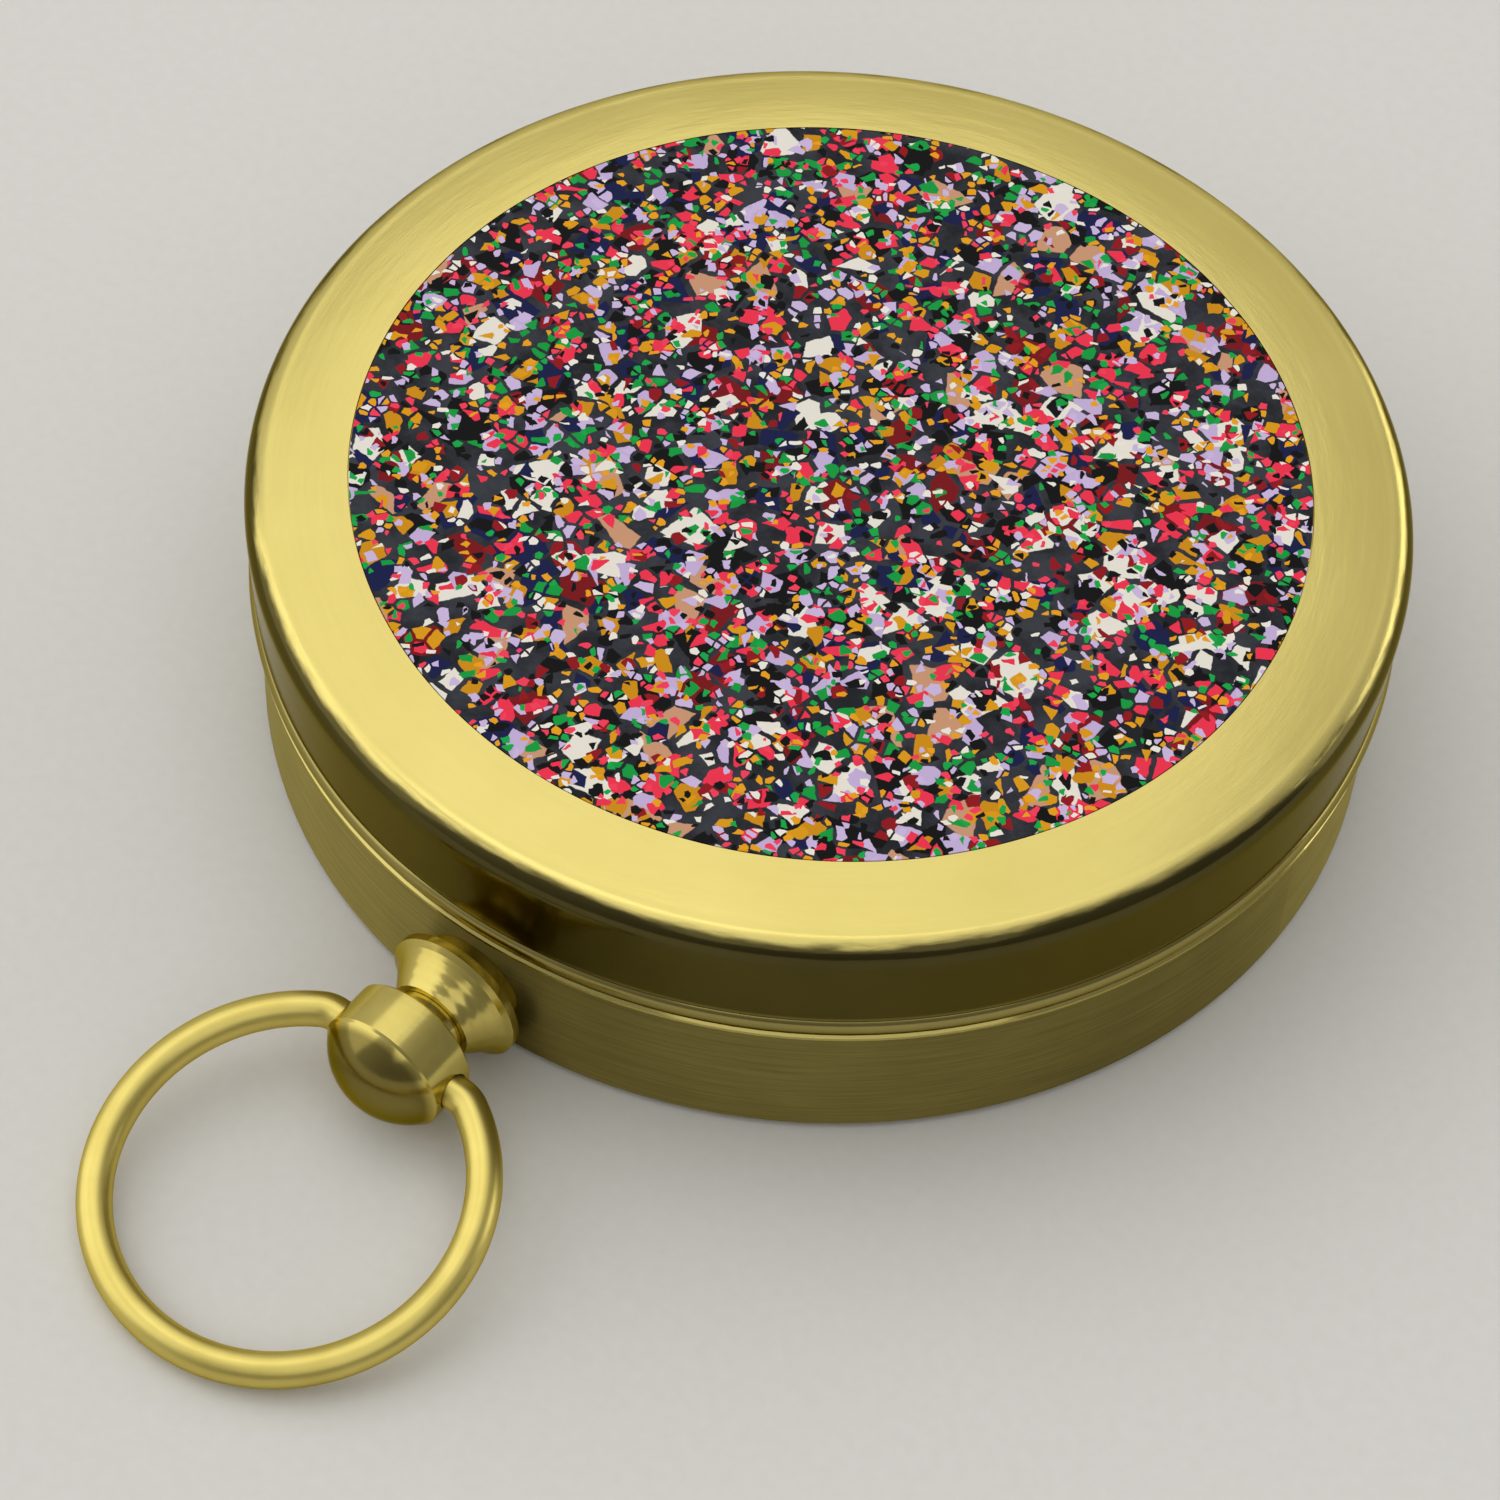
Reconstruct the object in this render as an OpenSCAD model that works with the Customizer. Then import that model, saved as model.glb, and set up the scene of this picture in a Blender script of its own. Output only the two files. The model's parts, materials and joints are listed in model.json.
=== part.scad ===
// Round brass pocket compass with a lift-off lid and a bail ring.
// The origin is the centre of the flat underside. Z points up, and the pendant
// and its bail ring point along -Y. All sizes are in millimetres.

/* [Case] */
// Diameter of the closed case, over the lid
case_d = 50; // [42:0.5:65]
// Height of the closed case
case_h = 13.4; // [12.4:0.1:18]
// How far the lid stands out past the base wall, all round
lid_overhang = 0.4; // [0.3:0.05:0.8]
// Height of the base wall, up to the joint line
base_h = 7.25; // [6.7:0.05:8]
// Height of the narrow lip round the top of the base wall
base_lip_h = 0.35; // [0.2:0.05:0.6]
// How far that lip stands out from the base wall
base_lip_w = 0.3; // [0.15:0.05:0.45]
// Width of the chamfers on the lip's two edges
base_lip_chamfer = 0.1; // [0.05:0.05:0.15]
// Thickness of the base wall
base_wall = 1.3; // [1:0.05:2]
// Thickness of the base floor
floor_t = 1.2; // [0.9:0.05:1.5]
// Width of the chamfer round the foot
foot_chamfer = 0.4; // [0.1:0.05:0.8]
// Height of the neck that the lid slips over
neck_h = 1.95; // [1.7:0.05:3]
// Width of the chamfer round the mouth of the neck
neck_chamfer = 0.2; // [0.05:0.05:0.35]
// Radius of the turned ring line on the underside
foot_line_r = 19; // [12:0.5:20]
// Width of that ring line
foot_line_w = 0.5; // [0.2:0.05:1]

/* [Lid] */
// Thickness of the lid's side wall
lid_wall = 0.8; // [0.6:0.05:1.1]
// Thickness of the lid's top
lid_top_t = 0.9; // [0.7:0.05:1.2]
// Radius of the rounded shoulder
shoulder_r = 1.05; // [0.5:0.05:1.4]
// Radius of the rounded corner inside the lid
lid_inner_r = 0.4; // [0.2:0.05:0.6]
// How far the top falls from the picture to the shoulder
crown_drop = 0.15; // [0.05:0.05:0.3]
// Height of the half-round bead rolled at the lid's edge
bead_h = 1.15; // [0.8:0.05:1.3]
// How far the bead stands out past the foot of the lid's wall
bead_out = 0.2; // [0.1:0.02:0.3]
// Diameter of the printed disc let into the top
print_d = 41.1; // [32:0.1:43]
// Thickness of the printed disc
print_t = 0.25; // [0.1:0.05:0.4]

/* [Pendant] */
// Diameter of the collar's rim
collar_rim_d = 6.3; // [5:0.1:6.4]
// Diameter of the collar's foot against the case
collar_foot_d = 4.6; // [3.6:0.1:5]
// Distance from the case wall to the back of the rim
collar_foot_l = 0.9; // [0.6:0.05:1.6]
// Thickness of the rim
collar_rim_t = 0.35; // [0.2:0.05:0.6]
// Length of the cone from the rim to the neck
collar_cone_l = 1.5; // [1:0.1:2.5]
// Diameter of the cone's small end
collar_tip_d = 3.8; // [3.5:0.1:4.4]
// Diameter of the neck behind the knob
knob_neck_d = 3.2; // [2.9:0.1:3.5]
// Length of that neck
knob_neck_l = 1.0; // [0.8:0.1:2]
// Diameter of the knob
knob_d = 5.8; // [5.2:0.1:6.3]
// Length of the knob's straight band
knob_band_l = 2.3; // [2:0.05:3]
// Height of the domed end
knob_dome_h = 1.5; // [0.6:0.05:2.4]
// Width of the knob's edge chamfers
knob_chamfer = 0.1; // [0.05:0.05:0.25]
// Diameter of the stud that passes through the collar and the wall
stud_d = 2.4; // [2.1:0.1:2.6]

/* [Bail ring] */
// Diameter of the wire
wire_d = 1.5; // [1:0.05:1.7]
// Radius of the ring to the middle of the wire
bail_r = 7.95; // [7:0.05:12]
// Straight length of wire outside the knob, each side
bail_straight = 0.3; // [0.2:0.05:1.5]
// Width of the bend where each end turns in
bail_bend_l = 0.75; // [0.6:0.05:1.4]
// Length of each end inside the knob
bail_end_l = 1.8; // [1.2:0.1:2.4]

/* [Dial] */
// Width of the graduated ring, from the case wall inwards
ring_w = 3.1; // [2.6:0.1:4]
// Width of the flat land on top of the graduated ring
ring_land_w = 1.7; // [1.45:0.05:2]
// How far the graduated ring laps over the dial plate
dial_lap = 0.5; // [0.2:0.05:0.8]
// Thickness of the dial plate
dial_plate_t = 0.8; // [0.5:0.05:1]
// Thickness of the printed dial card
dial_card_t = 0.2; // [0.1:0.05:0.4]
// Distance of the two dial screws from the centre
dial_screw_place = 14; // [8:0.5:16]
// Diameter of a dial screw's head
dial_screw_head_d = 2.4; // [1.8:0.1:3]
// Height of a dial screw's head
dial_screw_head_t = 0.55; // [0.3:0.05:0.8]
// Diameter of a dial screw's shank
dial_screw_d = 1.4; // [1:0.1:1.6]
// Floor left under the end of a dial screw
floor_skin = 0.35; // [0.2:0.05:0.5]

/* [Glass] */
// Thickness of the glass
glass_t = 1.0; // [0.8:0.05:1.3]
// Width of the glass's ground edge
glass_chamfer = 0.15; // [0.05:0.05:0.25]
// Thickness of the seal under the glass
seal_t = 0.25; // [0.15:0.05:0.4]
// Width of the seal
seal_w = 1.4; // [1:0.05:1.6]
// Diameter of the snap ring's wire
snap_wire_d = 0.6; // [0.45:0.05:0.7]
// Height of the neck above the snap ring
snap_lip = 0.55; // [0.4:0.05:0.8]
// Opening between the ends of the snap ring, in degrees
snap_gap_angle = 10; // [4:1:20]

/* [Needle] */
// Gap between the needle's point and the graduated ring
needle_tip_gap = 1.8; // [0.8:0.1:4]
// Width of the needle at its middle
needle_w = 5.0; // [3.5:0.1:7]
// Thickness of the needle
needle_t = 0.35; // [0.2:0.05:0.5]
// Diameter of the round eye plate at the needle's middle
needle_eye_d = 6.4; // [5:0.1:8]
// Gap between the needle's cap and the glass
cap_glass_gap = 0.45; // [0.25:0.05:0.6]
// Height of the needle's cap
cap_h = 2.0; // [1.8:0.05:2.2]
// Diameter of the cap's barrel
cap_d = 2.8; // [2.4:0.1:3.2]
// Diameter of the cap's lower flange
cap_flange_d = 4.4; // [3.6:0.1:5]
// Thickness of the cap's lower flange
cap_flange_t = 0.4; // [0.25:0.05:0.5]
// Radius of the cap's rounded top edge
cap_round = 0.6; // [0.3:0.05:0.8]
// Diameter of the jewel
jewel_d = 1.6; // [1.3:0.05:1.8]
// Height of the jewel
jewel_h = 1.1; // [0.95:0.05:1.2]
// Depth of the cup in the jewel
jewel_cup_h = 0.75; // [0.6:0.05:0.8]
// Diameter of the mouth of that cup
jewel_cup_d = 1.1; // [0.9:0.05:1.2]
// Wall of the balance clip on the needle's south arm
balance_wall = 0.25; // [0.15:0.05:0.4]
// Length of the balance clip along the needle
balance_l = 1.6; // [1:0.1:3]

/* [Pivot] */
// Diameter of the pivot pin
pin_d = 0.7; // [0.5:0.05:0.8]
// Length of the pin's ground point
pin_point_l = 1.0; // [0.8:0.05:1.3]
// Diameter of the bush that holds the pin
bush_d = 3.0; // [2.4:0.1:3.6]
// Height of the bush above the dial plate
bush_h = 1.3; // [0.9:0.1:1.5]
// Diameter of the bush's rivet through the dial plate
bush_rivet_d = 2.0; // [1.6:0.1:2.2]
// Width of the bush's top chamfer
bush_chamfer = 0.4; // [0.2:0.05:0.6]

/* [Hidden] */
$fn = 96;

// How far every cut runs past the face that it opens
overrun = 0.6;
// Radial clearance of the lid on its neck
slip_gap = 0.05;
// Radial clearance of the ring's ends in the knob
run_gap = 0.05;
// Clearance of a piece dropped into its seat
drop_gap = 0.1;
// Clearance of a piece pushed or screwed home
press_gap = 0.01;
// Gap left by the solder or paper between two seated faces
seat_gap = 0.02;

case_r = case_d / 2;
base_r = case_r - lid_overhang;
cup_r = base_r - base_wall;
lid_bore_r = case_r - lid_wall;
neck_r = lid_bore_r - slip_gap;
neck_top = base_h + neck_h;
foot_line_depth = 0.15;

print_r = print_d / 2;
print_seat_r = print_r + slip_gap;
print_seat_z = case_h - print_t;
lid_inside_z = case_h - lid_top_t;

// The glass hangs from the neck's mouth: snap ring, glass, seal, graduated ring
snap_r = snap_wire_d / 2;
snap_z = neck_top - snap_lip - snap_r;
snap_groove_r = snap_r + 3 * press_gap;
glass_top = snap_z - snap_r - seat_gap;
glass_z = glass_top - glass_t;
glass_r = cup_r - drop_gap;
seal_z = glass_z - seal_t;

ring_out_r = cup_r - drop_gap;
ring_in_r = ring_out_r - ring_w;
ring_top = seal_z;
ring_land_r = ring_out_r - ring_land_w;

dial_r = ring_in_r + dial_lap;
dial_top = floor_t + dial_plate_t;
card_r = ring_in_r - drop_gap;
card_top = dial_top + dial_card_t;
dial_screw_r = dial_screw_d / 2;
dial_screw_end = floor_skin + drop_gap;
slot_share = 0.2;
slot_depth_share = 0.5;

// The pendant lies along the middle of the plain wall below the lip. Places
// along it are measured from the axis of the case.
wall_h = base_h - base_lip_h;
lip_r = base_r + base_lip_w;
pendant_z = wall_h / 2;
rim_back = base_r + collar_foot_l;
rim_front = rim_back + collar_rim_t;
cone_end = rim_front + collar_cone_l;
band_back = cone_end + knob_neck_l;
hole_at = band_back + knob_band_l / 2;
band_front = band_back + knob_band_l;
knob_r = knob_d / 2;
dome_base_r = knob_r - knob_chamfer;
dome_r = (dome_base_r * dome_base_r + knob_dome_h * knob_dome_h) / (2 * knob_dome_h);
stud_r = stud_d / 2;
cone_steps = 8;
cone_flare_share = 0.75;

// The screw inside draws the knob, the collar and the wall together. Its washer
// stands just clear of the floor.
washer_d = 2 * (pendant_z - floor_t - drop_gap);
washer_t = 0.25;
screw_head_share = 0.8;
screw_head_d = washer_d * screw_head_share;
screw_head_t = 0.8;
screw_d = 1.2;
screw_l = 3.6;
washer_out = sqrt(cup_r * cup_r - washer_d * washer_d / 4) - press_gap;
washer_in = washer_out - washer_t;
screw_head_in = washer_in - screw_head_t;
stud_end = washer_out + drop_gap;
screw_tip = washer_in + screw_l;

// The bail is a wire ring whose ends bend in and enter the knob's cross hole
wire_r = wire_d / 2;
bend_swell = 0.02;
bail_bend_x = knob_r + bail_straight;
bail_arc_x = bail_bend_x + bail_bend_l;
bail_turn = asin(bail_arc_x / bail_r);
bail_arc_y = bail_bend_l * tan(bail_turn / 2);
bail_centre = bail_arc_y + bail_r * cos(bail_turn);
bail_end_x = knob_r - bail_end_l;
// Angle at which the far side of the ring lies on the table
bail_lie = asin((pendant_z - wire_r) / (bail_centre + bail_r));

// The needle hangs in the space between the dial and the glass
cap_top = glass_z - cap_glass_gap;
cap_z = cap_top - cap_h;
needle_z = cap_z + cap_flange_t;
needle_reach = ring_in_r - needle_tip_gap;
cap_r = cap_d / 2;
jewel_r = jewel_d / 2;
jewel_top = cap_z + cap_flange_t + jewel_h;
jewel_z = jewel_top - jewel_h;
pin_tip = jewel_z + jewel_cup_h - press_gap;
pin_r = pin_d / 2;
pin_foot = floor_t + drop_gap;
balance_place_share = 0.6;
balance_y = needle_reach * balance_place_share;
balance_inner_y = balance_y - balance_l / 2;
balance_slot_w = needle_w * (1 - balance_inner_y / needle_reach) + 2 * press_gap;

// Area outside a quarter circle of radius r, with the corner up and to the right
module corner_waste(r) {
    difference() {
        square(r + overrun);
        circle(r);
    }
}

// Triangle that bevels a corner by w, with the corner at the origin
module bevel_waste(w) {
    polygon([[-w, 0], [0, -w], [overrun, -w], [overrun, overrun], [-w, overrun]]);
}

// Stands its children on the pendant's axis: their Z then runs along -Y
module on_pendant() {
    translate([0, 0, pendant_z]) rotate([90, 0, 0]) children();
}

// Slotted cheese head with its underside at z = 0
module slotted_head(d, t) {
    difference() {
        cylinder(d = d, h = t);
        translate([0, 0, t * (1 - slot_depth_share) + overrun / 2])
            cube([d + overrun, d * slot_share, overrun], center = true);
    }
}

// Places its children at both dial screws
module at_dial_screws() {
    for (side = [-1, 1]) translate([side * dial_screw_place, 0, 0]) children();
}

// Half of the base's section, right of the axis
module base_section() {
    difference() {
        union() {
            square([base_r, base_h]);
            translate([0, wall_h]) square([lip_r, base_lip_h]);
            square([neck_r, neck_top]);
        }
        translate([0, floor_t]) square([cup_r, neck_top]);
        translate([base_r, 0]) mirror([0, 1]) bevel_waste(foot_chamfer);
        translate([lip_r, base_h]) bevel_waste(base_lip_chamfer);
        translate([lip_r, wall_h]) mirror([0, 1]) bevel_waste(base_lip_chamfer);
        translate([neck_r, neck_top]) bevel_waste(neck_chamfer);
        translate([cup_r, snap_z]) circle(snap_groove_r);
        translate([foot_line_r, -overrun]) square([foot_line_w, overrun + foot_line_depth]);
    }
}

module case_base() {
    color("#B79A48") difference() {
        rotate_extrude() base_section();
        on_pendant() translate([0, 0, cup_r - overrun])
            cylinder(r = stud_r + run_gap, h = base_wall + 2 * overrun);
        at_dial_screws() translate([0, 0, floor_skin])
            cylinder(r = dial_screw_r + press_gap, h = floor_t);
    }
}

// The graduated ring: its inner face slopes, and a pocket clears the pendant screw
module chapter_ring() {
    pocket_w = washer_d + 4 * drop_gap;
    pocket_in = screw_head_in - drop_gap;
    color("#D8CFB4") difference() {
        rotate_extrude() polygon([
            [ring_in_r, dial_top + seat_gap], [ring_land_r, ring_top], [ring_out_r, ring_top],
            [ring_out_r, floor_t], [dial_r + seat_gap, floor_t], [dial_r + seat_gap, dial_top + seat_gap]
        ]);
        translate([-pocket_w / 2, -ring_out_r - overrun, floor_t - overrun])
            cube([pocket_w, ring_out_r + overrun - pocket_in, pendant_z + pocket_w / 2 - floor_t + overrun]);
    }
}

module dial_plate() {
    color("#C9CBC6") difference() {
        translate([0, 0, floor_t]) cylinder(r = dial_r, h = dial_plate_t);
        cylinder(r = bush_rivet_d / 2 + press_gap, h = dial_top + overrun);
        at_dial_screws() cylinder(r = dial_screw_r + drop_gap, h = dial_top + overrun);
    }
}

module dial_card() {
    color("#EDE6CF") difference() {
        translate([0, 0, dial_top]) cylinder(r = card_r, h = dial_card_t);
        cylinder(r = bush_d / 2 + drop_gap, h = card_top + overrun);
        at_dial_screws() cylinder(r = dial_screw_head_d / 2 + drop_gap, h = card_top + overrun);
    }
}

module dial_screws() {
    color("#C2A24C") at_dial_screws() {
        translate([0, 0, dial_top]) slotted_head(dial_screw_head_d, dial_screw_head_t);
        translate([0, 0, dial_screw_end]) cylinder(r = dial_screw_r, h = dial_top - dial_screw_end);
    }
}

// Turned bush, riveted into the dial plate, with the pin driven into its bore
module pivot_bush() {
    color("#C2A24C") rotate_extrude() difference() {
        union() {
            translate([0, floor_t]) square([bush_rivet_d / 2, dial_plate_t]);
            translate([0, dial_top]) square([bush_d / 2, bush_h]);
        }
        translate([0, pin_foot]) square([pin_r + press_gap, dial_top + bush_h]);
        translate([bush_d / 2, dial_top + bush_h]) bevel_waste(bush_chamfer);
    }
}

module pivot_pin() {
    color("#9AA0A6") rotate_extrude() polygon([
        [0, pin_foot], [pin_r, pin_foot], [pin_r, pin_tip - pin_point_l], [0, pin_tip]
    ]);
}

module glass_seal() {
    color("#3A3A38") translate([0, 0, seal_z]) difference() {
        cylinder(r = glass_r, h = seal_t);
        translate([0, 0, -overrun]) cylinder(r = glass_r - seal_w, h = seal_t + 2 * overrun);
    }
}

module crystal() {
    color("#DCEBEE", 0.35) rotate_extrude() translate([0, glass_z]) difference() {
        square([glass_r, glass_t]);
        translate([glass_r, glass_t]) bevel_waste(glass_chamfer);
        translate([glass_r, 0]) mirror([0, 1]) bevel_waste(glass_chamfer);
    }
}

// Open wire ring that springs into the groove of the neck
module snap_ring() {
    color("#C8A94F") translate([0, 0, snap_z]) rotate([0, 0, 90 + snap_gap_angle / 2])
        rotate_extrude(angle = 360 - snap_gap_angle) translate([cup_r, 0]) circle(snap_r);
}

// Point of the collar's hollow cone at share t of the way from rim to tip
function cone_point(t) = [
    collar_rim_d / 2 + (collar_tip_d - collar_rim_d) / 2 * pow(t, cone_flare_share),
    rim_front + collar_cone_l * t
];

module pendant_collar() {
    color("#C9AC50") difference() {
        on_pendant() rotate_extrude() polygon(concat(
            [[stud_r + run_gap, cup_r], [collar_foot_d / 2, cup_r], [collar_foot_d / 2, rim_back],
             [collar_rim_d / 2, rim_back]],
            [for (i = [0:cone_steps]) cone_point(i / cone_steps)],
            [[stud_r + run_gap, cone_end]]
        ));
        cylinder(r = base_r + seat_gap, h = base_h + collar_rim_d);
    }
}

// Half of the knob's section: dome, band, neck and the hollow stud
module knob_section() {
    difference() {
        union() {
            translate([0, stud_end]) square([stud_r, band_back - stud_end + knob_chamfer]);
            translate([0, cone_end + seat_gap]) square([knob_neck_d / 2, knob_neck_l]);
            difference() {
                translate([0, band_back]) square([knob_r, knob_band_l]);
                translate([knob_r, band_front]) bevel_waste(knob_chamfer);
                translate([knob_r, band_back]) mirror([0, 1]) bevel_waste(knob_chamfer);
            }
            intersection() {
                translate([0, band_front + knob_dome_h - dome_r]) circle(dome_r);
                translate([0, band_front - knob_chamfer]) square([dome_base_r, knob_dome_h + knob_chamfer]);
            }
        }
        translate([0, stud_end - overrun])
            square([screw_d / 2 + press_gap, screw_tip + drop_gap - stud_end + overrun]);
    }
}

module pendant_knob() {
    color("#C9AC50") on_pendant() difference() {
        rotate_extrude() knob_section();
        translate([0, 0, hole_at]) rotate([0, 90, 0])
            cylinder(r = wire_r + run_gap, h = knob_d + 2 * overrun, center = true);
    }
}

module pendant_washer() {
    color("#BFA24A") on_pendant() translate([0, 0, washer_in]) difference() {
        cylinder(d = washer_d, h = washer_t);
        translate([0, 0, -overrun]) cylinder(r = screw_d / 2 + drop_gap, h = washer_t + 2 * overrun);
    }
}

module pendant_screw() {
    color("#9AA0A6") on_pendant() {
        translate([0, 0, washer_in]) mirror([0, 0, 1]) slotted_head(screw_head_d, screw_head_t);
        translate([0, 0, washer_in]) cylinder(d = screw_d, h = screw_l);
    }
}

// Straight wire of length l along +X, with the ball of a bend at its start
module bent_wire(l) {
    sphere(wire_r + bend_swell);
    rotate([0, 90, 0]) cylinder(r = wire_r, h = l);
}

// Open wire ring: each end bends in twice, then runs straight into the knob
module bail_ring() {
    color("#D2B45A") translate([0, -hole_at, pendant_z]) rotate([bail_lie, 0, 0]) {
        translate([0, -bail_centre, 0]) rotate([0, 0, 90 + bail_turn])
            rotate_extrude(angle = 360 - 2 * bail_turn) translate([bail_r, 0]) circle(wire_r);
        for (side = [0, 1]) mirror([side, 0, 0]) {
            translate([bail_bend_x, 0, 0]) rotate([0, 0, 180]) bent_wire(bail_bend_x - bail_end_x);
            translate([bail_arc_x, -bail_arc_y, 0]) rotate([0, 0, 180 - bail_turn / 2])
                bent_wire(bail_bend_l / cos(bail_turn / 2));
        }
    }
}

// Half of the lid's section: crowned top, round shoulder, leaning wall and rolled bead
module lid_section() {
    crown_z = case_h - crown_drop;
    bead_r = bead_h / 2;
    bead_z = base_h + bead_r;
    difference() {
        union() {
            difference() {
                translate([0, base_h]) square([case_r, case_h - base_h]);
                polygon([
                    [case_r + overrun, crown_z - shoulder_r], [case_r, crown_z - shoulder_r],
                    [case_r - bead_out, bead_z], [case_r - bead_r, bead_z],
                    [case_r - bead_r, base_h - overrun], [case_r + overrun, base_h - overrun]
                ]);
            }
            translate([case_r - bead_r, bead_z]) circle(bead_r);
        }
        difference() {
            translate([0, base_h - overrun]) square([lid_bore_r, lid_inside_z - base_h + overrun]);
            translate([lid_bore_r - lid_inner_r, lid_inside_z - lid_inner_r]) corner_waste(lid_inner_r);
        }
        translate([0, print_seat_z]) square([print_seat_r, print_t + overrun]);
        polygon([
            [print_seat_r, case_h], [case_r - shoulder_r, crown_z], [case_r + overrun, crown_z],
            [case_r + overrun, case_h + overrun], [print_seat_r, case_h + overrun]
        ]);
        translate([case_r - shoulder_r, crown_z - shoulder_r]) corner_waste(shoulder_r);
    }
}

module lid_shell() {
    color("#D9C062") rotate_extrude() lid_section();
}

module lid_print_disc() {
    color("#3E434B") translate([0, 0, print_seat_z]) cylinder(r = print_r, h = print_t);
}

// Lozenge needle with a round eye plate, pierced for the cap
module needle_blade() {
    color("#2D3A5C") translate([0, 0, needle_z]) difference() {
        union() {
            linear_extrude(needle_t)
                polygon([[0, needle_reach], [needle_w / 2, 0], [0, -needle_reach], [-needle_w / 2, 0]]);
            cylinder(d = needle_eye_d, h = needle_t);
        }
        translate([0, 0, -overrun]) cylinder(r = cap_r + press_gap, h = needle_t + 2 * overrun);
    }
}

module needle_cap() {
    color("#CDAF55") rotate_extrude() difference() {
        union() {
            translate([0, cap_z]) square([cap_flange_d / 2, cap_flange_t]);
            difference() {
                translate([0, cap_z]) square([cap_r, cap_h]);
                translate([cap_r - cap_round, cap_top - cap_round]) corner_waste(cap_round);
            }
        }
        translate([0, cap_z - overrun]) square([jewel_r + press_gap, jewel_top - cap_z + overrun]);
    }
}

// The jewel: a hard stone pressed into the cap, with a hollow cone that rides on the pin
module needle_jewel() {
    color("#8C2B3A") rotate_extrude() polygon([
        [jewel_cup_d / 2, jewel_z], [jewel_r, jewel_z], [jewel_r, jewel_top], [0, jewel_top],
        [0, jewel_z + jewel_cup_h]
    ]);
}

module needle_balance() {
    outer_w = balance_slot_w + 2 * balance_wall;
    outer_t = needle_t + 2 * press_gap + 2 * balance_wall;
    color("#CDAF55") translate([0, -balance_y, needle_z + needle_t / 2]) difference() {
        cube([outer_w, balance_l, outer_t], center = true);
        cube([balance_slot_w, balance_l + 2 * overrun, needle_t + 2 * press_gap], center = true);
    }
}

case_base();
chapter_ring();
dial_plate();
dial_card();
dial_screws();
pivot_bush();
pivot_pin();
glass_seal();
crystal();
snap_ring();
pendant_collar();
pendant_knob();
pendant_washer();
pendant_screw();
bail_ring();
lid_shell();
lid_print_disc();
needle_blade();
needle_cap();
needle_jewel();
needle_balance();
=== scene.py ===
"""Looks of a 50 mm lidded brass pocket compass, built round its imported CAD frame."""

import json
import math

import bmesh
import bpy
import numpy as np
from mathutils import Matrix, Vector


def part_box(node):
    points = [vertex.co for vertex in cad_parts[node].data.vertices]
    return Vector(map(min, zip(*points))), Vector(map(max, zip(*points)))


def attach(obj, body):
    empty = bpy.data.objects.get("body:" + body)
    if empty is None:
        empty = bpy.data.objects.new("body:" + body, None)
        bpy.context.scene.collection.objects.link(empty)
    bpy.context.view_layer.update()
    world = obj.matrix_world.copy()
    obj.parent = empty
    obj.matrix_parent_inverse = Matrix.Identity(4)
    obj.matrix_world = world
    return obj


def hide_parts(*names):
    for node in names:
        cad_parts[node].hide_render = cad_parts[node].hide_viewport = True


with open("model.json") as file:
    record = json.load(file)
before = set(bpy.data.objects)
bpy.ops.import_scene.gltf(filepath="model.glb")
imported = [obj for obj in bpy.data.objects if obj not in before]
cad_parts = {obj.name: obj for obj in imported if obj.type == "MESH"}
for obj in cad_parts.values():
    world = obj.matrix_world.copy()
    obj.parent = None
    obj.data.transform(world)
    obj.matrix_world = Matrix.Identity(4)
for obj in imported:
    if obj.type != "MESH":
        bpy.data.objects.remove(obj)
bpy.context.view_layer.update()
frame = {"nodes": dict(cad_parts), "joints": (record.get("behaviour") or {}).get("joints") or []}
part = frame["nodes"]
MM = 0.001

# ---------------------------------------------------------------- sizes, read from the CAD nodes

lid_low, lid_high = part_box("lid_shell")
print_low, print_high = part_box("lid_print_disc")
card_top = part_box("dial_card")[1].z
knob_hole = Vector(next(j for j in frame["joints"] if j["name"] == "bail_swing")["pos_m"])

SHOULDER_TOP = lid_high.z - 0.15 * MM
SHOULDER_FOOT = lid_high.z - 1.2 * MM
# Where the rolled bead meets the lid's wall
CREASE = lid_low.z + 0.994 * MM


# ---------------------------------------------------------------- meshes

def link_new(name, data):
    """A new object in the scene, which holds a mesh, a curve, a lamp or a camera."""
    thing = bpy.data.objects.new(name, data)
    bpy.context.scene.collection.objects.link(thing)
    return thing


def place_piece(name, mesh, material, body):
    """Makes a mesh a visible piece, of one material, that rides on a body."""
    mesh.materials.append(material)
    piece = link_new(name, mesh)
    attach(piece, body)
    return piece


def make_piece(name, points, faces, material, body, slot, smooth=True):
    """Puts worked out points and faces into a mesh object that rides on a body."""
    mesh = bpy.data.meshes.new(name)
    mesh.from_pydata(np.asarray(points).tolist(), [], faces)
    mesh.polygons.foreach_set("use_smooth", np.full(len(mesh.polygons), smooth))
    mesh.update()
    return place_piece(name, mesh, material, body)


def tube_faces(rows, around):
    """Quads between following rings of points, and one flat face to close each end."""
    ring = np.arange(around)
    after = (ring + 1) % around
    start = around * np.arange(rows - 1)[:, None]
    quads = np.stack([start + ring, start + after, start + around + after, start + around + ring], 2)
    return [*quads.reshape(-1, 4).tolist(), ring[::-1].tolist(), (around * (rows - 1) + ring).tolist()]


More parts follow.
